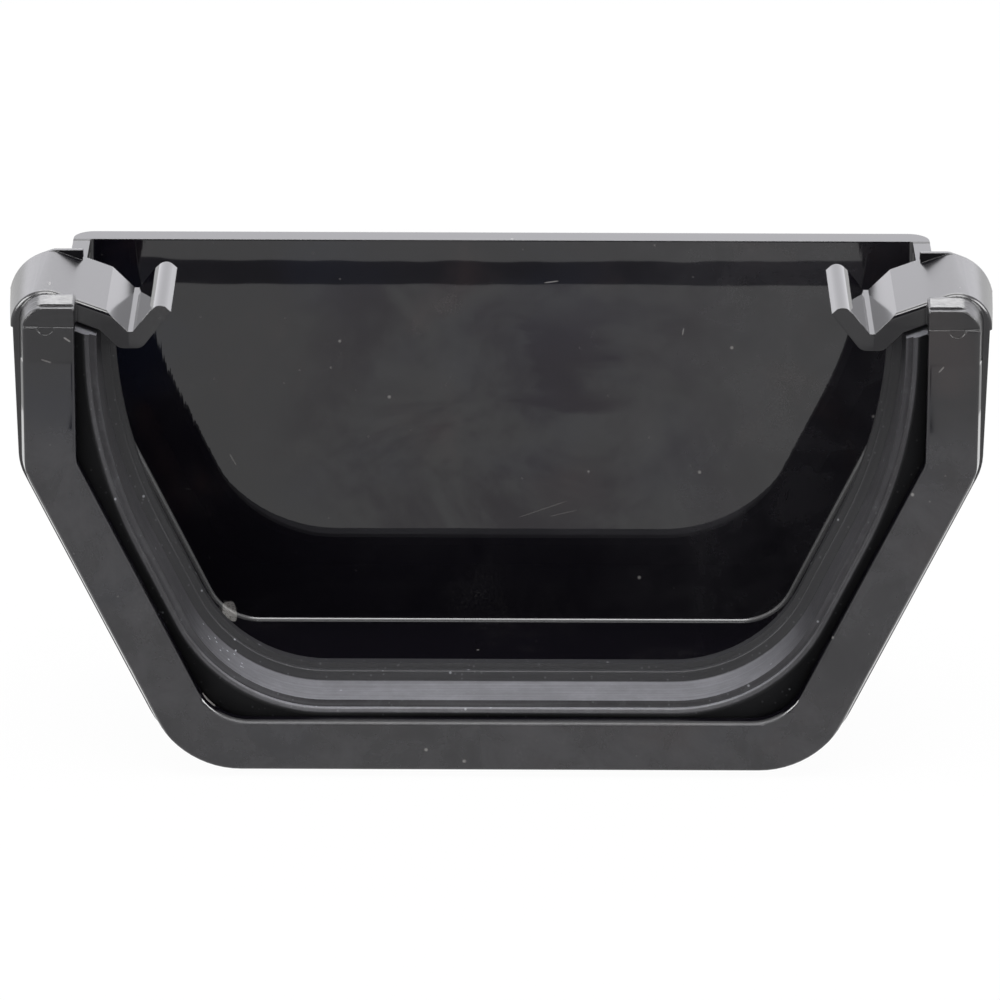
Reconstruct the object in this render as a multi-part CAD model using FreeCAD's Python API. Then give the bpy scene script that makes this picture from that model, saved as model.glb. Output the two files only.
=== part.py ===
import FreeCAD, Part
import math
import os

# External stop end for a 114 mm square-line rain gutter: one moulding and its rubber seal.
# Millimetres. X runs across the gutter, -Y faces out of the mouth, Z is up.
# The origin is at the bottom, under the middle of the part's width and length.
# The drawing starts at the flange's face, and main() moves it onto that origin.

# Inside of the trough, which every wall follows at its own offset
MOUTH_HALF_WIDTH = 58.3
SLOPE_ANGLE = 25.8
SLOPE_RISE = 38.3
TROUGH_DEPTH = 57.6
BASIN_LENGTH = 40.2
INNER_CORNER_RADIUS = 7.8
INNER_KNEE_RADIUS = 3.0

# Basin that closes the gutter's end
SIDE_WALL = 2.4
END_PLATE = 3.6
BASIN_EDGE_RADIUS = 3.0
INNER_EDGE_RADIUS = 0.5

# Flange around the mouth
FLANGE_WIDTH = 7.1
FLANGE_DRAFT = 0.7
FLANGE_DEPTH = 4.4
FLANGE_LAND = 0.3
FLANGE_PLATE = 2.2
FLANGE_RISE = 3.6
FLANGE_CORNER_RADIUS = 13.6
FLANGE_KNEE_RADIUS = 7.0
FLANGE_TOP_RADIUS = 3.8
FLANGE_EDGE_RADIUS = 0.5
MOUTH_EDGE_RADIUS = 0.5

# Shallow marks that the mould leaves at the flange's ends
FACE_STEP_HEIGHT = 3.4
FACE_STEP = 0.2
TOP_STEP_DEPTH = 1.4
EJECTOR_RADIUS = 1.1
EJECTOR_OFFSET = 0.4
EJECTOR_STEP = 0.15

# Collar behind the flange, with the seal's channel inside it
COLLAR_PROUD = 1.1
COLLAR_LEAN = 0.5
COLLAR_CHAMFER = 0.8
CHANNEL_DEPTH = 5.6
CHANNEL_WIDTH = 12.6
CHANNEL_REAR_WALL = 2.0

# Clip at each top corner: a strap that flares out to the rear over the collar, a V and a latch
STRAP_PROUD = 0.3
STRAP_FLARE = 1.35
STRAP_WALL = 2.9
STRAP_RADIUS = 4.8
STRAP_REAR_RADIUS = 7.0
STRAP_SLOPE = 20.5
SHOULDER_SLOPE = 20.0
CROWN_INSET = 4.9
CROWN_RADIUS = 4.4
REAR_CROWN_INSET = 6.3
REAR_CROWN_RADIUS = 2.0
STRAP_EDGE_RADIUS = 0.5
STRAP_SKIRT = 0.4
STRAP_LIP_RADIUS = 0.7
CREST_INSET = 4.1
CREST_RISE = 1.2
VALLEY_DROP = 3.0
VALLEY_WIDTH = 0.65
LEG_ANGLE = 45.0
LEG_WALL = 2.6
LATCH_ANGLE = 52.0
LATCH_WALL = 2.4
LATCH_RISE = 2.9
LATCH_CROWN = 1.35
LATCH_CROWN_RADIUS = 1.4
KEEL_DROP = 2.4
KEEL_RADIUS = 1.6

# Web that closes each strap's rear end
POCKET_LENGTH = 5.1
WEB_WALL = 1.9
WEB_CROWN_RADIUS = 2.0
WEB_EDGE_RADIUS = 1.3

# Rubber seal, with its heights measured from the trough's inside
SEAL_CLEARANCE = 0.15
SEAL_SIDE_GAP = 0.8
SEAL_CORNER_RADIUS = 23.5
SEAL_KNEE_RADIUS = 68.0
SEAL_NOSE = 1.05
SEAL_SHELF = 1.95
SEAL_SHELF_RISE = 0.2
SEAL_RIB = 3.5
SEAL_GROOVE = 0.3
SEAL_LIP = 4.0
SEAL_END_GAP = 0.7
SEAL_NOTCH = 1.3

# Heights and depths that follow from the sizes above
TILT = math.radians(SLOPE_ANGLE)
COLLAR_OFFSET = FLANGE_WIDTH + COLLAR_PROUD
FLOOR_Z = COLLAR_OFFSET
KNEE_Z = FLOOR_Z + SLOPE_RISE
BASIN_TOP = FLOOR_Z + TROUGH_DEPTH
FLANGE_TOP = BASIN_TOP + FLANGE_RISE
CHANNEL_REAR = FLANGE_PLATE + CHANNEL_WIDTH
COLLAR_REAR = CHANNEL_REAR + CHANNEL_REAR_WALL
BASIN_REAR = BASIN_LENGTH + END_PLATE
WEB_FRONT = COLLAR_REAR + POCKET_LENGTH
STRAP_REAR = WEB_FRONT + WEB_WALL
STRAP_HALF_WIDTH = MOUTH_HALF_WIDTH + COLLAR_OFFSET + COLLAR_LEAN + STRAP_PROUD
CREST = (MOUTH_HALF_WIDTH - CREST_INSET, BASIN_TOP + CREST_RISE)
VALLEY_Z = CREST[1] - VALLEY_DROP
KEEL_Z = VALLEY_Z - KEEL_DROP
STRAP_CORNER_Z = CREST[1] + (STRAP_HALF_WIDTH - CREST[0]) * math.tan(math.radians(STRAP_SLOPE))
ARCH_Z = STRAP_CORNER_Z - STRAP_RADIUS / math.tan(math.radians(45 - STRAP_SLOPE / 2))
STRAP_FOOT = ARCH_Z - STRAP_SKIRT
REAR_HALF_WIDTH = STRAP_HALF_WIDTH + STRAP_FLARE
SKY = 2 * FLANGE_TOP


def tangent(degrees):
    return math.tan(math.radians(degrees))


def rounded_wire(points, radii):
    """A closed wire through corner points, each rounded by its own radius."""
    count = len(points)
    rounds = []
    for i, corner in enumerate(points):
        if radii[i] == 0:
            rounds.append((corner, corner, corner))
            continue
        back = (points[i - 1] - corner).normalize()
        ahead = (points[(i + 1) % count] - corner).normalize()
        half = back.getAngle(ahead) / 2
        reach = radii[i] / math.tan(half)
        crest = radii[i] / math.sin(half) - radii[i]
        middle = (back + ahead).normalize()
        rounds.append((corner + back * reach, corner + middle * crest, corner + ahead * reach))
    edges = []
    for i, (start, crest, end) in enumerate(rounds):
        if radii[i]:
            edges.append(Part.Arc(start, crest, end).toShape())
        edges.append(Part.LineSegment(end, rounds[(i + 1) % count][0]).toShape())
    return Part.Wire(edges)


def prism(points, radii, front, rear):
    """A solid between two depths, from an X-Z drawing."""
    outline = rounded_wire([FreeCAD.Vector(x, front, z) for x, z in points], radii)
    return Part.Face(outline).extrude(FreeCAD.Vector(0, rear - front, 0))


def mirrored(shape):
    """The same shape on the right side of the part."""
    return shape.mirror(FreeCAD.Vector(0, 0, 0), FreeCAD.Vector(1, 0, 0))


def both_sides(shape):
    return [shape, mirrored(shape)]


def outline_edges(shape, y, top):
    """Edges of the outline at depth y, without the one along the top."""
    found = []
    for edge in shape.Edges:
        limits = edge.BoundBox
        in_plane = abs(limits.YMin - y) < 1e-6 and abs(limits.YMax - y) < 1e-6
        if in_plane and limits.ZMin < top - 1e-6:
            found.append(edge)
    return found


def trough_points(offset, top, lean):
    """Corners of the trough's section, offset outwards, with its top open side up."""
    side = MOUTH_HALF_WIDTH + offset
    knee = KNEE_Z - offset * math.tan(TILT / 2)
    base = FLOOR_Z - offset
    foot = side - (knee - base) * math.tan(TILT)
    left = [(-side - lean, top), (-side, knee), (-foot, base)]
    return left + [(-x, z) for x, z in reversed(left)]


def trough(offset, top, front, rear, corner, knee, lean=0.0, rim=0.0):
    """A solid that fills the trough's section between two depths."""
    radii = [rim, knee, corner, corner, knee, rim]
    return prism(trough_points(offset, top, lean), radii, front, rear)


def cavity():
    """The open inside of the trough, from in front of the mouth to the end plate."""
    tool = trough(0, SKY, -FLANGE_DEPTH, BASIN_LENGTH, INNER_CORNER_RADIUS, INNER_KNEE_RADIUS)
    return tool.makeFillet(INNER_EDGE_RADIUS, outline_edges(tool, BASIN_LENGTH, SKY))


def strap_top(x, depth=0.0):
    """Height of the strap's sloping top at a distance x from the middle, or of a layer below it."""
    run = (x - CREST[0]) * tangent(STRAP_SLOPE)
    return CREST[1] + run - depth / math.cos(math.radians(STRAP_SLOPE))


def arch(depth, foot, inner_x, front, rear):
    """A left-hand solid below the strap's arch, or below a layer inside it."""
    side = STRAP_HALF_WIDTH - depth
    points = [(-side, foot), (-side, strap_top(side, depth))]
    points += [(-inner_x, strap_top(inner_x, depth)), (-inner_x, foot)]
    return prism(points, [0, STRAP_RADIUS - depth, 0, 0], front, rear)


def channel():
    """The seal's groove, which ends under the straps."""
    corner = INNER_CORNER_RADIUS + CHANNEL_DEPTH
    knee = INNER_KNEE_RADIUS + CHANNEL_DEPTH
    groove = trough(CHANNEL_DEPTH, SKY, FLANGE_PLATE, CHANNEL_REAR, corner, knee)
    below = arch(STRAP_WALL, 0, 0, FLANGE_PLATE, CHANNEL_REAR)
    return groove.common(below.fuse(mirrored(below)))


def mould_marks():
    """Material that the mould's inserts leave out at the flange's left end."""
    inner = -MOUTH_HALF_WIDTH + 1
    outer = -MOUTH_HALF_WIDTH - 2 * FLANGE_WIDTH
    low = FLANGE_TOP - FACE_STEP_HEIGHT
    high = FLANGE_TOP + FLANGE_WIDTH
    on_face = [(outer, low), (outer, high), (inner, high), (inner, low)]
    on_top = [(x, max(z, FLANGE_TOP - FLANGE_DRAFT)) for x, z in on_face]
    face_step = prism(on_face, [0] * 4, -1, FACE_STEP)
    top_step = prism(on_top, [0] * 4, -1, TOP_STEP_DEPTH)
    centre = FreeCAD.Vector(-MOUTH_HALF_WIDTH - FLANGE_WIDTH / 2 - EJECTOR_OFFSET, 0, low)
    ejector = Part.makeCylinder(EJECTOR_RADIUS, EJECTOR_STEP, centre, FreeCAD.Vector(0, 1, 0))
    return face_step.fuse([top_step, ejector])


def mouth_edges(shape):
    """Edges of the open mouth on the flange's face."""
    found = []
    for edge in outline_edges(shape, 0, FLANGE_TOP):
        limits = edge.BoundBox
        if limits.XMin > -MOUTH_HALF_WIDTH - 1e-3 and limits.XMax < MOUTH_HALF_WIDTH + 1e-3:
            found.append(edge)
    return found


def flange():
    """The flat rim around the mouth, which tapers to the front and has rounded top corners."""
    rim = trough(
        FLANGE_WIDTH + FLANGE_DRAFT, FLANGE_TOP, 0, FLANGE_DEPTH,
        FLANGE_CORNER_RADIUS, FLANGE_KNEE_RADIUS, rim=FLANGE_TOP_RADIUS,
    )
    rim = rim.makeChamfer(FLANGE_DEPTH - FLANGE_LAND, FLANGE_DRAFT, outline_edges(rim, 0, SKY))
    rim = rim.makeFillet(FLANGE_EDGE_RADIUS, outline_edges(rim, 0, SKY)).cut(cavity())
    rim = rim.makeFillet(MOUTH_EDGE_RADIUS, mouth_edges(rim))
    return rim.cut(both_sides(mould_marks()))


def collar():
    """The proud band behind the flange that holds the seal."""
    band = trough(
        COLLAR_OFFSET, STRAP_FOOT, FLANGE_DEPTH, COLLAR_REAR,
        FLANGE_CORNER_RADIUS + COLLAR_PROUD, FLANGE_KNEE_RADIUS + COLLAR_PROUD, COLLAR_LEAN,
    )
    return band.makeChamfer(COLLAR_CHAMFER, outline_edges(band, COLLAR_REAR, STRAP_FOOT))


def basin():
    """The closed end's outer form, with soft rear edges."""
    block = trough(
        SIDE_WALL, BASIN_TOP, FLANGE_DEPTH, BASIN_REAR,
        INNER_CORNER_RADIUS + SIDE_WALL, INNER_KNEE_RADIUS + SIDE_WALL,
    )
    return block.makeFillet(BASIN_EDGE_RADIUS, outline_edges(block, BASIN_REAR, BASIN_TOP))


def strap_bearings():
    """Left-hand walls that carry the strap: over the channel's rear wall and the basin's side."""
    middle = STRAP_WALL / 2
    foot = STRAP_FOOT - STRAP_WALL
    behind_seal = arch(middle, foot, MOUTH_HALF_WIDTH, CHANNEL_REAR, COLLAR_REAR)
    outer = MOUTH_HALF_WIDTH + SIDE_WALL
    points = [(-outer, foot), (-outer, strap_top(outer, middle))]
    points += [(-MOUTH_HALF_WIDTH, strap_top(MOUTH_HALF_WIDTH, middle)), (-MOUTH_HALF_WIDTH, foot)]
    return behind_seal.fuse(prism(points, [0] * 4, CHANNEL_REAR, STRAP_REAR))


def clip_corners():
    """The strap's underside at its heel, and both ends of the keel below the V."""
    valley_x = CREST[0] - VALLEY_DROP / tangent(LEG_ANGLE)
    leg_drop = LEG_WALL / math.cos(math.radians(LEG_ANGLE))
    leg_rise = tangent(LEG_ANGLE)
    under_crest = strap_top(CREST[0], STRAP_WALL)
    under_leg = CREST[1] - leg_drop
    heel_x = CREST[0] + (under_crest - under_leg) / (leg_rise - tangent(STRAP_SLOPE))
    heel = (heel_x, strap_top(heel_x, STRAP_WALL))
    keel_outer = heel_x - (heel[1] - KEEL_Z) / leg_rise
    latch_x = valley_x - VALLEY_WIDTH
    thick = LATCH_WALL / math.sin(math.radians(LATCH_ANGLE))
    keel_inner = latch_x - thick + KEEL_DROP / tangent(LATCH_ANGLE)
    return valley_x, heel, keel_outer, keel_inner, thick


def shoulder(side, inset):
    """Corners of the shoulder: its foot, its outer corner and its crown."""
    crown = side - inset
    corner_z = strap_top(crown) - inset * tangent(SHOULDER_SLOPE)
    return [(-side, STRAP_FOOT - STRAP_REAR_RADIUS), (-side, corner_z), (-crown, strap_top(crown))]


def strap_outline(y, side, inset, radius, crown_radius):
    """The closed outline of the strap's block at depth y, from its shoulder to the mouth's side."""
    points = shoulder(side, inset)
    points += [(-MOUTH_HALF_WIDTH, strap_top(MOUTH_HALF_WIDTH)), (-MOUTH_HALF_WIDTH, points[0][1])]
    corners = [FreeCAD.Vector(x, y, z) for x, z in points]
    return rounded_wire(corners, [0, radius, crown_radius, 0, 0])


def top_edges(shape, y, low):
    """Edges of the outline at depth y that lie above a height."""
    return [edge for edge in outline_edges(shape, y, SKY) if edge.BoundBox.ZMin > low - 1e-6]


def strap():
    """The left strap over the collar, which grows wider and rounder to the rear."""
    front = strap_outline(FLANGE_DEPTH, STRAP_HALF_WIDTH, CROWN_INSET, STRAP_RADIUS, CROWN_RADIUS)
    rear = strap_outline(
        WEB_FRONT, REAR_HALF_WIDTH, REAR_CROWN_INSET, STRAP_REAR_RADIUS, REAR_CROWN_RADIUS,
    )
    block = Part.makeLoft([front, rear], True, True)
    block = block.makeFillet(STRAP_LIP_RADIUS, top_edges(block, FLANGE_DEPTH, ARCH_Z))
    under = arch(STRAP_WALL, 0, 0, 0, BASIN_REAR)
    low = [(-SKY, 0), (-SKY, STRAP_FOOT), (0, STRAP_FOOT), (0, 0)]
    return block.cut([under, prism(low, [0] * 4, 0, BASIN_REAR)])


def tongue():
    """The left clip inside the mouth, as one bent band: the strap's end, the V and the latch."""
    valley_x, heel, keel_outer, keel_inner, thick = clip_corners()
    latch_x = valley_x - VALLEY_WIDTH
    tip_x = latch_x - LATCH_RISE / tangent(LATCH_ANGLE)
    tip_z = VALLEY_Z + LATCH_RISE
    side = MOUTH_HALF_WIDTH
    over = [(side, strap_top(side)), CREST, (valley_x, VALLEY_Z), (latch_x, VALLEY_Z)]
    tip = [(tip_x, tip_z), (tip_x - thick / 2, tip_z + LATCH_CROWN), (tip_x - thick, tip_z)]
    under = [(keel_inner, KEEL_Z), (keel_outer, KEEL_Z), heel, (side, strap_top(side, STRAP_WALL))]
    radii = [0, 0, 0, 0] + [0, LATCH_CROWN_RADIUS, 0] + [KEEL_RADIUS, KEEL_RADIUS, STRAP_EDGE_RADIUS, 0]
    points = [(-x, z) for x, z in over + tip + under]
    band = prism(points, radii, FLANGE_DEPTH, STRAP_REAR)
    lip = [edge for edge in top_edges(band, FLANGE_DEPTH, CREST[1]) if edge.BoundBox.XMin < -CREST[0] - 1]
    return band.makeFillet(STRAP_LIP_RADIUS, lip)


def web():
    """The left wall that closes the strap's rear end, level on top, and ties it to the basin."""
    points = shoulder(REAR_HALF_WIDTH, REAR_CROWN_INSET)
    points += [(-MOUTH_HALF_WIDTH, points[2][1]), (-MOUTH_HALF_WIDTH, points[0][1])]
    radii = [0, STRAP_REAR_RADIUS, WEB_CROWN_RADIUS, 0, 0]
    wall = prism(points, radii, WEB_FRONT, STRAP_REAR)
    wall = wall.makeFillet(WEB_EDGE_RADIUS, top_edges(wall, STRAP_REAR, STRAP_FOOT - STRAP_SKIRT))
    low = STRAP_FOOT - (REAR_HALF_WIDTH - MOUTH_HALF_WIDTH)
    below = [(-SKY, 0), (-SKY, STRAP_FOOT), (-REAR_HALF_WIDTH, STRAP_FOOT)]
    below += [(-MOUTH_HALF_WIDTH, low), (-MOUTH_HALF_WIDTH, 0)]
    return wall.cut(prism(below, [0] * 5, 0, BASIN_REAR))


def cap_body():
    """The whole moulding."""
    shell = flange().fuse([collar(), basin()])
    shell = shell.cut([cavity(), channel()])
    left = strap_bearings().fuse([strap(), tongue(), web()])
    return shell.fuse(both_sides(left)).removeSplitter()


def seal_section():
    """The seal's section under the middle of the mouth, from its channel to its lip."""
    front = FLANGE_PLATE + SEAL_CLEARANCE
    rear = CHANNEL_REAR - SEAL_CLEARANCE
    width = rear - front
    root = -CHANNEL_DEPTH + SEAL_CLEARANCE
    sole = root + SEAL_NOTCH / 2
    rib = front + 0.72 * width
    lip = front + 0.83 * width
    profile = [
        (front, sole, 0.0), (front, SEAL_NOSE - 0.9, 0.0), (front + 0.55, SEAL_NOSE, 0.3),
        (front + 1.0, SEAL_NOSE, 0.0), (front + 1.3, SEAL_SHELF, 0.0),
        (rib - 0.6, SEAL_SHELF + SEAL_SHELF_RISE, 0.0), (rib, SEAL_RIB, 0.25),
        (rib + 0.6, SEAL_RIB - SEAL_GROOVE, 0.0), (lip - 0.2, SEAL_RIB - SEAL_GROOVE, 0.0),
        (lip + 0.15, SEAL_LIP, 0.0), (rear - 0.4, SEAL_LIP, 0.0), (rear, SEAL_LIP - 1.0, 0.0),
        (rear, sole, 0.0),
        (rear - 0.1 * width, root, 0.0), (front + 0.62 * width, root, 0.0),
        (front + 0.56 * width, root + SEAL_NOTCH, 0.0), (front + 0.44 * width, root + SEAL_NOTCH, 0.0),
        (front + 0.38 * width, root, 0.0), (front + 0.1 * width, root, 0.0),
    ]
    points = [FreeCAD.Vector(0, y, FLOOR_Z + height) for y, height, radius in profile]
    return Part.Face(rounded_wire(points, [radius for y, height, radius in profile]))


def seal_half():
    """Half of the seal: straight runs and bends from the middle up to the left clip."""
    turn = math.pi / 2 - TILT
    corner_reach = SEAL_CORNER_RADIUS * math.tan(turn / 2)
    knee_reach = SEAL_KNEE_RADIUS * math.tan(TILT / 2)
    slope = SLOPE_RISE / math.cos(TILT) - corner_reach - knee_reach
    flat = MOUTH_HALF_WIDTH - SEAL_SIDE_GAP - SLOPE_RISE * math.tan(TILT) - corner_reach
    depth = FreeCAD.Vector(0, 1, 0)
    section = seal_section()
    solids = []
    run = FreeCAD.Vector(-1, 0, 0)
    inwards = FreeCAD.Vector(0, 0, 1)
    point = FreeCAD.Vector(0, 0, FLOOR_Z)
    for length, radius, angle in (
        (flat, SEAL_CORNER_RADIUS, turn), (slope, SEAL_KNEE_RADIUS, TILT), (TROUGH_DEPTH, 0, 0),
    ):
        solids.append(section.extrude(run * length))
        section.translate(run * length)
        point = point + run * length
        if not radius:
            continue
        centre = point + inwards * radius
        solids.append(section.revolve(centre, depth, math.degrees(angle)))
        section.rotate(centre, depth, math.degrees(angle))
        bend = FreeCAD.Rotation(depth, math.degrees(angle))
        point = centre + bend.multVec(point - centre)
        run = bend.multVec(run)
        inwards = bend.multVec(inwards)
    return solids[0].fuse(solids[1:])


def gutter_seal():
    """The whole seal, trimmed to end just below the clips."""
    strip = seal_half()
    valley_x, heel, keel_outer, keel_inner, thick = clip_corners()
    gap = SEAL_END_GAP
    points = [(0, KEEL_Z - gap), (keel_outer, KEEL_Z - gap), (heel[0], heel[1] - gap)]
    points += [(heel[0], SKY), (0, SKY)]
    keel = prism([(-x, z) for x, z in points], [0] * 5, -FLANGE_DEPTH, STRAP_REAR)
    strip = strip.common(arch(STRAP_WALL + gap, -gap, 0, 0, STRAP_REAR)).cut(keel)
    return strip.fuse(mirrored(strip)).removeSplitter()


def main():
    os.makedirs("parts", exist_ok=True)
    for name, shape in (("cap_body", cap_body()), ("gutter_seal", gutter_seal())):
        shape.translate(FreeCAD.Vector(0, -BASIN_REAR / 2, 0))
        shape.exportStep("parts/" + name + ".step")
        limits = shape.BoundBox
        print(name, len(shape.Solids), "solid", shape.isValid(), round(shape.Volume), "mm3",
              "X %.2f %.2f Y %.2f %.2f Z %.2f %.2f" % (
                  limits.XMin, limits.XMax, limits.YMin, limits.YMax, limits.ZMin, limits.ZMax))


main()
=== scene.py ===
import math

import bpy
from mathutils import Matrix, Vector

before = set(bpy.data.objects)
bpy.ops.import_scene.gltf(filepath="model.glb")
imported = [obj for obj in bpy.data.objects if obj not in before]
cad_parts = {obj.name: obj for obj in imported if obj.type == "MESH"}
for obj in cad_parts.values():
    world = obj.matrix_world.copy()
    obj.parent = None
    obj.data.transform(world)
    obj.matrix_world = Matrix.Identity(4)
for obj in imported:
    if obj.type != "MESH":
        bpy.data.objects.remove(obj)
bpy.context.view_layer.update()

# The photograph's view, fitted to the part's edges
CAMERA_ELEVATION = 20.0
CAMERA_DISTANCE = 1.0
CAMERA_LENS = 255.96
CAMERA_ROLL = 0.2
TARGET = Vector((-0.0001, -0.0019, 0.03395))

# The part's own lines, in millimetres
MOUTH_HALF_WIDTH = 58.3
KNEE_Z = 46.5
FLOOR_Z = 8.2
SLOPE = math.radians(25.8)
FACE_Y = -21.9
SEAL_FRONT_Y = -19.55
SEAL_ROLL = 1.6
PLATE_Y = 18.3
PLATE_DRAFT = 0.0168
FLANK_DRAFT = 0.19
FLANK_LIP = 6.72
LIP_DRAFT = 0.25

# Edge softness that catches the light, in metres
FINE_EDGE = 0.00015
RIM_EDGE = 0.0006
CLIP_EDGE = 0.0002

# Dark strip on the floor in front, which the end plate mirrors
STRIP_NEAR = -0.1818
STRIP_DEPTH = 0.0142
STRIP_BOW = 0.4
STRIP_HALF_WIDTH = 0.0625

# Dark wall far in front and dark cards beside the strip, in metres
DARK_WALL_Y = -2.4
SIDE_CARD_NEAR = -0.165
SIDE_CARD_FAR = -0.22
SIDE_CARD_OUTER = 0.0685

# Thin cloudy veil in front, which the end plate mirrors, and its darkest patch, in metres
VEIL_HALF_WIDTH = 0.055
VEIL_NEAR = -0.045
VEIL_FAR = -0.1815
CARD_LEFT = 0.000
CARD_RIGHT = 0.024
CARD_NEAR = -0.108
CARD_FAR = -0.180

# Bright bar on the floor on each side, which the flange's edges mirror, in metres
BAR_GLOW = 2.2
BAR_CORNERS = [(0.043, -0.012), (0.066, -0.012), (0.155, 0.090), (0.155, 0.150), (0.105, 0.150), (0.075, 0.070)]

# Scuffs on the plastic in mm: x, y, z, half length, half width, turn in degrees, strength
SCRATCHES = [
    (7.1, PLATE_Y, 59.6, 1.1, 0.10, 8, 0.5),
    (25.9, PLATE_Y, 52.2, 0.6, 0.09, 80, 0.6),
    (6.0, PLATE_Y, 25.2, 4.0, 0.08, 20, 0.22),
    (9.0, PLATE_Y, 24.6, 2.2, 0.07, 14, 0.2),
    (-38.4, PLATE_Y, 32.6, 1.1, 0.10, -62, 0.35),
    (-60.6, -17.0, 69.0, 1.6, 0.10, -25, 0.3),
    (-61.6, -14.0, 69.4, 1.3, 0.09, -40, 0.3),
    (-59.3, FACE_Y, 64.3, 0.6, 0.13, -35, 0.5),
    (-62.2, FACE_Y, 61.2, 0.8, 0.12, -18, 0.3),
    (60.2, FACE_Y, 60.4, 0.6, 0.12, 50, 0.4),
    (-58.3, 16.5, 63.5, 0.9, 0.22, 90, 0.8),
    (58.3, 16.5, 63.6, 1.3, 0.25, 90, 0.8),
]

# Painted highlights, as pale stippled patches in the lower corners, in mm: centre, half size, turn, strength
PAINTED_HIGHLIGHT_PATCHES = [
    ((-39.0, 17.6, 8.9), (1.0, 3.0, 2.1), 10, 0.7),
    ((-40.5, -19.9, 10.8), (1.5, 0.7, 0.35), -36, 0.8),
]


class Nodes:
    """Short calls for building one material's node tree."""

    def __init__(self, name):
        self.material = bpy.data.materials.new(name)
        self.material.use_nodes = True
        self.tree = self.material.node_tree
        self.tree.nodes.clear()

    def node(self, kind, **settings):
        node = self.tree.nodes.new(kind)
        for key, value in settings.items():
            setattr(node, key, value)
        return node

    def link(self, output, socket):
        self.tree.links.new(output, socket)

    def feed(self, node, inputs):
        for key, value in inputs.items():
            if isinstance(value, bpy.types.NodeSocket):
                self.link(value, node.inputs[key])
            else:
                node.inputs[key].default_value = value
        return node

    def math(self, operation, first, second=0.0, clamp=False):
        node = self.node("ShaderNodeMath", operation=operation, use_clamp=clamp)
        return self.feed(node, {0: first, 1: second}).outputs[0]

    def product(self, *factors):
        result = factors[0]
        for factor in factors[1:]:
            result = self.math("MULTIPLY", result, factor)
        return result

    def most(self, *values):
        result = values[0]
        for value in values[1:]:
            result = self.math("MAXIMUM", result, value)
        return result

    def ramp(self, value, low, high, start=0.0, end=1.0):
        """A smooth step of value from low to high."""
        node = self.node("ShaderNodeMapRange", interpolation_type="SMOOTHSTEP")
        return self.feed(node, {0: value, 1: low, 2: high, 3: start, 4: end}).outputs[0]

    def vector(self, operation, first, second=(0, 0, 0)):
        node = self.node("ShaderNodeVectorMath", operation=operation)
        return self.feed(node, {0: first, 1: second})

    def millimetres(self):
        """The point on the object in millimetres."""
        where = self.node("ShaderNodeTexCoord").outputs["Object"]
        return self.vector("MULTIPLY", where, (1000, 1000, 1000)).outputs[0]

    def split(self, vector):
        node = self.node("ShaderNodeSeparateXYZ")
        self.link(vector, node.inputs[0])
        return node.outputs

    def stretch(self, vector, scale):
        return self.vector("MULTIPLY", vector, scale).outputs[0]

    def noise(self, vector, scale, detail=2.0, roughness=0.5, distortion=0.0):
        node = self.node("ShaderNodeTexNoise")
        inputs = {"Vector": vector, "Scale": scale, "Detail": detail, "Roughness": roughness,
                  "Distortion": distortion}
        return self.feed(node, inputs).outputs["Fac"]

    def specks(self, vector, scale, size, share):
        """Small round dots, in a share of the cells of a scattered grid."""
        cells = self.node("ShaderNodeTexVoronoi")
        self.feed(cells, {"Vector": vector, "Scale": scale})
        chance = self.split(cells.outputs["Color"])[0]
        chosen = self.math("LESS_THAN", chance, share)
        dot = self.ramp(cells.outputs["Distance"], size, size * 0.4)
        return self.product(dot, chosen)

    def spot(self, vector, centre, half_size, turn, inner=0.5):
        """One soft-edged oval, turned about the y axis."""
        node = self.node("ShaderNodeMapping", vector_type="TEXTURE")
        turned = (0, math.radians(-turn), 0)
        self.feed(node, {"Vector": vector, "Location": centre, "Rotation": turned, "Scale": half_size})
        squared = self.vector("MULTIPLY", node.outputs[0], node.outputs[0]).outputs[0]
        reach = self.vector("LENGTH", squared).outputs["Value"]
        return self.ramp(reach, 1.0, inner)

    def blend(self, factor, first, second):
        node = self.node("ShaderNodeMix", data_type="RGBA")
        for socket, color in ((6, first), (7, second)):
            if isinstance(color, tuple):
                node.inputs[socket].default_value = (*color, 1.0)
            else:
                self.link(color, node.inputs[socket])
        self.feed(node, {0: factor})
        return node.outputs[2]

    def between(self, factor, first, second):
        node = self.node("ShaderNodeMix", data_type="FLOAT")
        self.feed(node, {0: factor, 2: first, 3: second})
        return node.outputs[0]

    def finish(self, shader):
        output = self.node("ShaderNodeOutputMaterial")
        self.link(shader, output.inputs["Surface"])
        return self.material


def mouth_offset(n, x, z):
    """How far outside the mouth's line a point lies, in mm."""
    side = n.math("SUBTRACT", n.math("ABSOLUTE", x), MOUTH_HALF_WIDTH)
    below = n.math("SUBTRACT", KNEE_Z, z)
    slope = n.math("ADD", n.product(side, math.cos(SLOPE)), n.product(below, math.sin(SLOPE)))
    return n.most(side, slope, n.math("SUBTRACT", FLOOR_Z, z))


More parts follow.
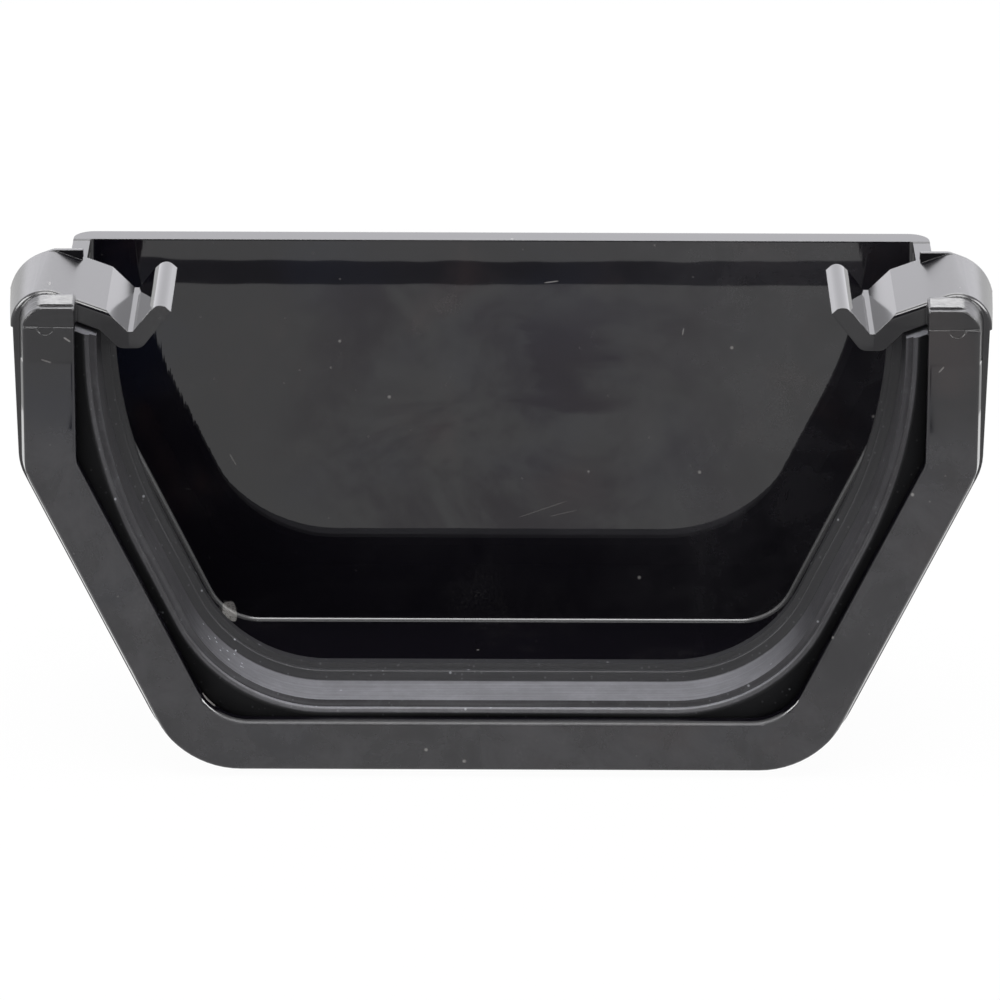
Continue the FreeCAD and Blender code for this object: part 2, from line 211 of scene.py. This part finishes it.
def moulded_normal(n, at, x, y, z, plate):
    """Soft edges, the end plate's draft, faint waves in the moulding and rubbed streaks."""
    rim = n.product(n.ramp(mouth_offset(n, x, z), 4.6, 5.2), n.ramp(y, -17.3, -17.6))
    inside = n.product(n.ramp(y, -8.6, -8.2), n.ramp(y, 17.6, 17.0), n.ramp(z, 61.0, 60.0))
    clip = n.product(n.ramp(z, 57.5, 58.5), n.ramp(y, -12.0, -13.0), n.ramp(mouth_offset(n, x, z), 0.2, -0.2))
    radius = n.between(rim, FINE_EDGE, RIM_EDGE)
    radius = n.between(clip, radius, CLIP_EDGE)
    radius = n.between(inside, radius, 0.00001)
    bevel = n.node("ShaderNodeBevel", samples=6)
    n.link(radius, bevel.inputs["Radius"])
    flank = n.product(n.ramp(mouth_offset(n, x, z), 6.2, 6.5), n.ramp(y, -17.4, -17.8), n.ramp(z, 61.5, 60.5))
    offset = mouth_offset(n, x, z)
    slope = n.product(n.ramp(z, KNEE_Z - 0.5, KNEE_Z - 3.0), n.ramp(z, 3.0, 8.0), n.ramp(y, FACE_Y + 0.4, FACE_Y + 0.2))
    lip = n.product(slope, n.ramp(offset, FLANK_LIP, FLANK_LIP + 0.06))
    outward = n.product(n.math("SIGN", x), math.cos(SLOPE))
    tilt = n.node("ShaderNodeCombineXYZ")
    n.link(n.product(flank, -FLANK_DRAFT), tilt.inputs[1])
    n.link(n.product(plate, PLATE_DRAFT), tilt.inputs[2])
    tilted = n.vector("ADD", bevel.outputs[0], tilt.outputs[0]).outputs[0]
    grazing = n.node("ShaderNodeCombineXYZ")
    n.feed(grazing, {0: outward, 1: -LIP_DRAFT, 2: -math.sin(SLOPE)})
    turn = n.node("ShaderNodeMix", data_type="VECTOR")
    n.feed(turn, {0: lip, 4: tilted, 5: grazing.outputs[0]})
    tilted = turn.outputs[1]
    waves = n.product(n.noise(at, 0.10, 1.0), 0.4)
    rubbed = n.noise(n.stretch(at, (1.6, 0.4, 0.07)), 1.0, 2.0)
    brushed = n.product(n.ramp(x, -28.0, -38.0), n.ramp(z, 30.0, 48.0), n.ramp(z, 56.0, 54.0))
    rubbed = n.product(rubbed, plate, n.between(brushed, 0.05, 0.45))
    top = n.product(n.ramp(z, 64.6, 65.4), n.ramp(y, -17.4, -18.0))
    crinkle = n.product(n.noise(n.stretch(at, (0.5, 2.2, 1.0)), 1.0, 2.0), top, 5.0)
    height = n.math("ADD", n.math("ADD", waves, rubbed), crinkle)
    bump = n.node("ShaderNodeBump")
    n.feed(bump, {"Strength": 0.5, "Distance": 0.00003, "Height": height, "Normal": tilted})
    return bump.outputs[0]


def film_and_painted_reflection(n, at, x, y, z, plate):
    """Black plastic with a thin cloudy film, brown in places and blue in others, and a grey haze, shown only on the end
    plate's lit upper part and the flange's front face; they are partly a real film and partly a painted cloudy
    reflection.
    """
    black = (0.0040, 0.0035, 0.0054)
    warm = n.ramp(n.noise(at, 0.055, 4.0, 0.6, 0.4), 0.50, 0.72)
    cool = n.ramp(n.noise(n.vector("ADD", at, (70, 0, 20)).outputs[0], 0.045, 3.0), 0.48, 0.68)
    color = n.blend(warm, black, (0.0150, 0.0100, 0.0110))
    color = n.blend(n.product(cool, 0.8), color, (0.0050, 0.0058, 0.0110))
    face = n.ramp(y, FACE_Y + 0.3, FACE_Y + 0.1)
    # Painted reflection: the tints show only where the end plate's upper part mirrors the bright floor, and on the
    # flange's face; elsewhere the plastic stays black.
    lit = n.product(plate, n.ramp(z, 22.0, 30.0))
    color = n.blend(n.most(lit, face), black, color)
    low = n.product(face, n.ramp(z, 56.0, 46.0))
    right = n.product(plate, n.ramp(x, 5.0, 34.0))
    # Partly painted reflection: a grey haze, strongest on the flange's lower face and on the end plate's right side.
    haze_and_painted_reflection = n.math("ADD", n.product(face, 0.05), n.product(low, 0.50))
    middle = n.product(plate, n.ramp(x, -40.0, -10.0))
    haze_and_painted_reflection = n.math("ADD", haze_and_painted_reflection, n.product(middle, 0.10))
    haze_and_painted_reflection = n.math("ADD", haze_and_painted_reflection, n.product(right, 0.30))
    uneven = n.ramp(n.noise(at, 0.12, 5.0, 0.68, 0.5), 0.30, 0.70, 0.35, 1.45)
    return n.blend(n.product(haze_and_painted_reflection, uneven), color, (0.0300, 0.0290, 0.0330))


def dirt_and_painted_highlights(n, at, x, y, z):
    """Where dust, scuffs and the painted highlight patches lie, from 0 to 1."""
    dust_scuffs_and_painted_highlights = n.product(n.specks(at, 0.16, 0.055, 0.7), 0.5)
    fine = n.specks(n.vector("ADD", at, (3, 5, 7)).outputs[0], 0.5, 0.09, 0.15)
    dust_scuffs_and_painted_highlights = n.most(dust_scuffs_and_painted_highlights, n.product(fine, 0.16))
    hazy = n.ramp(n.noise(at, 0.09, 4.0, 0.7), 0.50, 0.80)
    grain = n.ramp(n.noise(at, 3.0, 2.0), 0.40, 0.75)
    dust_scuffs_and_painted_highlights = n.most(dust_scuffs_and_painted_highlights, n.product(hazy, grain, 0.06))
    for mx, my, mz, long, wide, turn, strength in SCRATCHES:
        dust_scuffs_and_painted_highlights = n.most(dust_scuffs_and_painted_highlights, n.product(n.spot(at, (mx, my, mz), (long, 0.8, wide), turn), strength))
    # Painted highlights: two pale stippled patches in the lower corners.
    stipple = n.ramp(n.noise(at, 4.0, 1.0), 0.35, 0.6)
    for centre, half_size, turn, strength in PAINTED_HIGHLIGHT_PATCHES:
        patch = n.product(n.spot(at, centre, half_size, turn, 0.75), n.between(stipple, 0.6, 1.0))
        dust_scuffs_and_painted_highlights = n.most(dust_scuffs_and_painted_highlights, n.product(patch, strength))
    return dust_scuffs_and_painted_highlights


def plastic():
    """Glossy black rigid PVC, satin on the clips' straps, with dust, scuffs and painted highlights, and a painted
    cloudy reflection on the end plate and the flange's face.
    """
    n = Nodes("black_pvc")
    at = n.millimetres()
    x, y, z = n.split(at)[:3]
    plate = n.product(n.ramp(y, PLATE_Y - 0.2, PLATE_Y - 0.05), n.ramp(z, 65.7, 65.5))
    strap = n.product(n.ramp(n.math("ABSOLUTE", x), 51.0, 51.4), n.ramp(z, 60.5, 61.5), n.ramp(y, 3.2, 2.8))
    dust_scuffs_and_painted_highlights = dirt_and_painted_highlights(n, at, x, y, z)
    # The pale colour of dust, scuffs and the painted highlights goes over the film and its painted reflection.
    color = n.blend(dust_scuffs_and_painted_highlights, film_and_painted_reflection(n, at, x, y, z, plate), (0.30, 0.29, 0.28))
    cloud = n.noise(at, 0.06, 3.0)
    rough = n.ramp(cloud, 0.3, 0.7, 0.02, 0.05)
    rough = n.between(plate, rough, 0.015)
    satin = n.ramp(n.math("ABSOLUTE", x), 59.0, 57.0, 0.25, 0.14)
    rough = n.between(strap, rough, satin)
    trough = n.product(n.ramp(z, FLOOR_Z + 0.2, FLOOR_Z + 0.05), n.ramp(y, -8.0, -7.0))
    rough = n.between(trough, rough, 0.10)
    corner = n.product(n.ramp(y, 17.0, 17.5), n.ramp(y, 18.29, 18.26))
    around = n.most(n.ramp(z, 10.5, 13.0), n.ramp(n.math("ABSOLUTE", x), 34.5, 37.0))
    corner = n.product(corner, around)
    rough = n.between(corner, rough, 0.6)
    rim = n.product(n.ramp(y, -20.6, -21.2), n.ramp(z, 10.5, 9.0), n.ramp(mouth_offset(n, x, z), 0.5, 0.3))
    rough = n.between(rim, rough, 0.6)
    rough = n.between(dust_scuffs_and_painted_highlights, rough, 0.55)
    shader = n.node("ShaderNodeBsdfPrincipled")
    n.feed(shader, {
        "Base Color": color,
        "Roughness": rough,
        "IOR": 1.56,
        "Normal": moulded_normal(n, at, x, y, z, plate),
    })
    return n.finish(shader.outputs[0])


def rubber():
    """Satin black rubber, paler where it faces up, with painted shade on its front face and at its rear."""
    n = Nodes("black_rubber")
    at = n.millimetres()
    x, y, z = n.split(at)[:3]
    facing = n.split(n.node("ShaderNodeNewGeometry").outputs["Normal"])[2]
    up = n.ramp(facing, 0.35, 1.0)
    cloud = n.ramp(n.noise(at, 0.25, 5.0, 0.65), 0.3, 0.75)
    lines = n.ramp(n.noise(n.stretch(at, (0.04, 4.0, 0.04)), 1.0, 3.0), 0.35, 0.7)
    # Painted shade: towards the seal's rear the paleness drops to a third, and the colour is darkened to near black.
    shelf = n.ramp(y, -11.2, -11.8, 0.3, 1.0)
    rear_painted_shade = n.ramp(y, -11.8, -11.2)
    # Paler where the seal faces up, more towards the front and along its lines.
    pale_where_up = n.product(up, shelf, n.between(cloud, 0.75, 1.0), n.between(lines, 0.8, 1.0))
    color = n.blend(lines, (0.010, 0.009, 0.012), (0.038, 0.037, 0.042))
    mottled = n.ramp(n.noise(at, 0.5, 5.0, 0.75), 0.45, 0.75)
    color = n.blend(n.product(mottled, 0.4), color, (0.060, 0.060, 0.066))
    color = n.blend(pale_where_up, color, (0.205, 0.205, 0.225))
    # Painted shade: the seal's front face, next to the flange, is darkened to near black; the same mask rolls its
    # normal and roughens it.
    front_painted_shade = n.ramp(y, SEAL_FRONT_Y + 0.3, SEAL_FRONT_Y + 0.02)
    color = n.blend(n.most(front_painted_shade, n.product(rear_painted_shade, 0.8)), color, (0.006, 0.006, 0.008))
    spots = n.product(n.specks(at, 0.35, 0.09, 0.6), 0.35)
    fine = n.specks(n.vector("ADD", at, (1, 2, 3)).outputs[0], 1.1, 0.24, 0.45)
    corner = n.spot(at, (-39.0, -14.0, 16.5), (4.5, 4.0, 4.0), 0, 0.2)
    spots = n.most(spots, n.product(fine, n.math("ADD", n.product(corner, 1.2), 0.06)))
    color = n.blend(spots, color, (0.55, 0.56, 0.60))
    outward = n.vector("NORMALIZE", n.vector("MULTIPLY", n.vector("SUBTRACT", at, (0, 0, 45)).outputs[0],
                                             (1, 0, 1)).outputs[0]).outputs[0]
    sunk = n.node("ShaderNodeVectorMath", operation="SCALE")
    n.feed(sunk, {0: outward, "Scale": n.product(front_painted_shade, SEAL_ROLL)})
    rolled = n.vector("ADD", n.node("ShaderNodeNewGeometry").outputs["Normal"], sunk.outputs[0]).outputs[0]
    grain = n.node("ShaderNodeBump")
    n.feed(grain, {"Strength": 0.3, "Distance": 0.0001, "Height": n.noise(at, 4.0, 3.0), "Normal": rolled})
    shader = n.node("ShaderNodeBsdfPrincipled")
    n.feed(shader, {
        "Base Color": color,
        "Roughness": n.between(front_painted_shade, 0.55, 0.65),
        "IOR": 1.38,
        "Normal": grain.outputs[0],
    })
    return n.finish(shader.outputs[0])


def seen_white(name, color, share):
    """A pale material that shows white to the camera and in reflections, with part of its own shade."""
    n = Nodes(name)
    diffuse = n.node("ShaderNodeBsdfDiffuse")
    diffuse.inputs["Color"].default_value = (*color, 1.0)
    glow = n.node("ShaderNodeEmission")
    path = n.node("ShaderNodeLightPath")
    seen = n.most(path.outputs["Is Camera Ray"], path.outputs["Is Glossy Ray"])
    seen = n.most(seen, path.outputs["Is Transmission Ray"])
    mix = n.node("ShaderNodeMixShader")
    n.link(n.math("MULTIPLY", seen, share), mix.inputs[0])
    n.link(diffuse.outputs[0], mix.inputs[1])
    n.link(glow.outputs[0], mix.inputs[2])
    return n.finish(mix.outputs[0])


def matt(name, shade):
    n = Nodes(name)
    diffuse = n.node("ShaderNodeBsdfDiffuse")
    diffuse.inputs["Color"].default_value = (*shade, 1.0)
    return n.finish(diffuse.outputs[0])


def dress(node, material):
    """Gives a CAD node its material."""
    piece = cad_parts[node]
    if not piece.material_slots:
        piece.data.materials.append(material)
    for slot in piece.material_slots:
        slot.material = material


def plane(name, corners, material):
    mesh = bpy.data.meshes.new(name)
    mesh.from_pydata([Vector(c) for c in corners], [], [tuple(range(len(corners)))])
    piece = bpy.data.objects.new(name, mesh)
    bpy.context.scene.collection.objects.link(piece)
    mesh.materials.append(material)
    return piece


def mirrored_only(piece):
    """Only reflections show this piece of the studio."""
    piece.visible_camera = False
    piece.visible_diffuse = False
    piece.visible_shadow = False


def make_floor():
    material = seen_white("floor_white", (0.86, 0.86, 0.86), 0.97)
    plane("floor", [(-4, -4, 0), (4, -4, 0), (4, 4, 0), (-4, 4, 0)], material)


def make_card():
    """A thin cloudy veil on the floor in front, darkest in one patch, that the end plate mirrors."""
    n = Nodes("cloudy_veil")
    at = n.node("ShaderNodeTexCoord").outputs["Object"]
    x, y, z = n.split(at)[:3]
    ragged = n.product(n.math("SUBTRACT", n.noise(at, 60.0, 4.0, 0.6), 0.5), 0.03)
    side = n.math("ADD", x, ragged)
    near = n.math("ADD", y, n.product(ragged, 0.8))
    patch = n.product(n.ramp(side, CARD_LEFT, CARD_LEFT + 0.006), n.ramp(side, CARD_RIGHT, CARD_RIGHT - 0.012))
    patch = n.product(patch, n.ramp(near, CARD_NEAR, CARD_NEAR - 0.004), n.ramp(y, CARD_FAR, CARD_FAR + 0.03))
    cloud = n.ramp(n.noise(n.stretch(at, (1.0, 0.35, 1.0)), 45.0, 8.0, 0.72, 0.6), 0.38, 0.62)
    cloud = n.product(cloud, n.ramp(x, -0.042, -0.022), n.ramp(x, 0.050, 0.020))
    clear = n.node("ShaderNodeBsdfTransparent")
    grey = n.node("ShaderNodeEmission")
    n.feed(grey, {"Color": (0.42, 0.35, 0.42, 1.0)})
    mix = n.node("ShaderNodeMixShader")
    share = n.most(n.product(patch, 0.65), n.product(cloud, 0.48))
    n.feed(mix, {0: share, 1: clear.outputs[0], 2: grey.outputs[0]})
    height = 0.0006
    corners = [(-VEIL_HALF_WIDTH, VEIL_FAR), (VEIL_HALF_WIDTH, VEIL_FAR),
               (VEIL_HALF_WIDTH, VEIL_NEAR), (-VEIL_HALF_WIDTH, VEIL_NEAR)]
    outline = [(x, y, height) for x, y in corners]
    mirrored_only(plane("cloudy_veil", outline, n.finish(mix.outputs[0])))


def make_bright_bars():
    """A bright bar on each side of the part that only reflections show."""
    n = Nodes("bright_bar")
    shine = n.node("ShaderNodeEmission")
    n.feed(shine, {"Strength": BAR_GLOW})
    material = n.finish(shine.outputs[0])
    height = 0.0004
    for name, side in (("left", -1), ("right", 1)):
        outline = [(side * x, y, height) for x, y in BAR_CORNERS]
        mirrored_only(plane("bright_bar_" + name, outline, material))


def make_strip():
    """A dark strip, straight in front and bowed behind."""
    height = 0.0005
    steps = [STRIP_HALF_WIDTH * (i / 8 - 1) for i in range(17)]
    far = [(x, STRIP_NEAR - STRIP_DEPTH - STRIP_BOW * x * x, height) for x in steps]
    near = [(STRIP_HALF_WIDTH, STRIP_NEAR, height), (-STRIP_HALF_WIDTH, STRIP_NEAR, height)]
    mirrored_only(plane("dark_strip", far + near, matt("matt_dark", (0.12, 0.12, 0.13))))


def make_dark_cards():
    """A dark wall far in front and a dark card on each side of the strip, seen only in reflections."""
    material = matt("matt_black", (0.02, 0.02, 0.02))
    wall = [(x, DARK_WALL_Y, z) for x, z in ((-2.5, 0.35), (2.5, 0.35), (2.5, 2.6), (-2.5, 2.6))]
    mirrored_only(plane("dark_wall", wall, material))
    height = 0.0007
    for name, side in (("left", -1), ("right", 1)):
        corners = [(STRIP_HALF_WIDTH, SIDE_CARD_NEAR), (SIDE_CARD_OUTER, SIDE_CARD_NEAR),
                   (SIDE_CARD_OUTER, SIDE_CARD_FAR), (STRIP_HALF_WIDTH, SIDE_CARD_FAR)]
        outline = [(side * x, y, height) for x, y in corners]
        mirrored_only(plane("dark_card_" + name, outline, material))


def lamp(name, place, aim, size, power):
    data = bpy.data.lights.new(name, "AREA")
    data.shape = "RECTANGLE"
    data.size, data.size_y = size
    data.energy = power
    piece = bpy.data.objects.new(name, data)
    piece.location = place
    direction = Vector(aim) - Vector(place)
    piece.rotation_euler = direction.to_track_quat("-Z", "Y").to_euler()
    bpy.context.scene.collection.objects.link(piece)
    return piece


def edge_lamp(name, place, size, power):
    """A lamp that only the gloss on edges shows."""
    piece = lamp(name, place, (0, 0, 0.03), size, power)
    piece.visible_diffuse = False
    piece.visible_camera = False


def make_lights():
    back = lamp("softbox_back", (0.0, 2.2, 0.85), (0, 0, 0.03), (4.2, 1.7), 24.0)
    back.data.color = (0.99, 0.98, 1.06)
    edge_lamp("edge_left", (-1.5, -0.4, 0.95), (1.0, 1.0), 44.0)
    edge_lamp("edge_right", (1.5, -0.4, 0.95), (1.0, 1.0), 44.0)
    edge_lamp("edge_high", (0.0, 1.5, 1.6), (1.6, 0.9), 30.0)
    edge_lamp("edge_top", (0.0, -0.75, 1.9), (1.8, 0.7), 40.0)
    lamp("softbox_top", (0.0, -0.4, 2.2), (0, 0, 0), (1.8, 1.8), 45.0)


def make_world():
    world = bpy.data.worlds.new("studio")
    world.use_nodes = True
    tree = world.node_tree
    tree.nodes.clear()
    background = tree.nodes.new("ShaderNodeBackground")
    background.inputs["Color"].default_value = (1.0, 1.0, 1.0, 1.0)
    path = tree.nodes.new("ShaderNodeLightPath")
    seen = tree.nodes.new("ShaderNodeMath")
    seen.operation = "MAXIMUM"
    strength = tree.nodes.new("ShaderNodeMapRange")
    strength.inputs[3].default_value = 0.6
    strength.inputs[4].default_value = 1.0
    tree.links.new(path.outputs["Is Camera Ray"], seen.inputs[0])
    tree.links.new(path.outputs["Is Glossy Ray"], seen.inputs[1])
    tree.links.new(seen.outputs[0], strength.inputs[0])
    tree.links.new(strength.outputs[0], background.inputs["Strength"])
    output = tree.nodes.new("ShaderNodeOutputWorld")
    tree.links.new(background.outputs[0], output.inputs["Surface"])
    bpy.context.scene.world = world


def make_camera():
    data = bpy.data.cameras.new("camera")
    data.lens = CAMERA_LENS
    data.sensor_width = 36.0
    data.sensor_fit = "HORIZONTAL"
    data.clip_end = 50.0
    camera = bpy.data.objects.new("camera", data)
    rise = math.radians(CAMERA_ELEVATION)
    back = Vector((0, -math.cos(rise), math.sin(rise)))
    camera.location = TARGET + back * CAMERA_DISTANCE
    look = (-back).to_track_quat("-Z", "Y").to_matrix()
    roll = Matrix.Rotation(math.radians(CAMERA_ROLL), 3, "Z")
    camera.rotation_euler = (look @ roll).to_euler()
    bpy.context.scene.collection.objects.link(camera)
    bpy.context.scene.camera = camera


bpy.context.scene.view_settings.view_transform = "Standard"
dress("cap_body", plastic())
dress("gutter_seal", rubber())
make_floor()
make_strip()
make_card()
make_dark_cards()
make_bright_bars()
make_lights()
make_world()
make_camera()
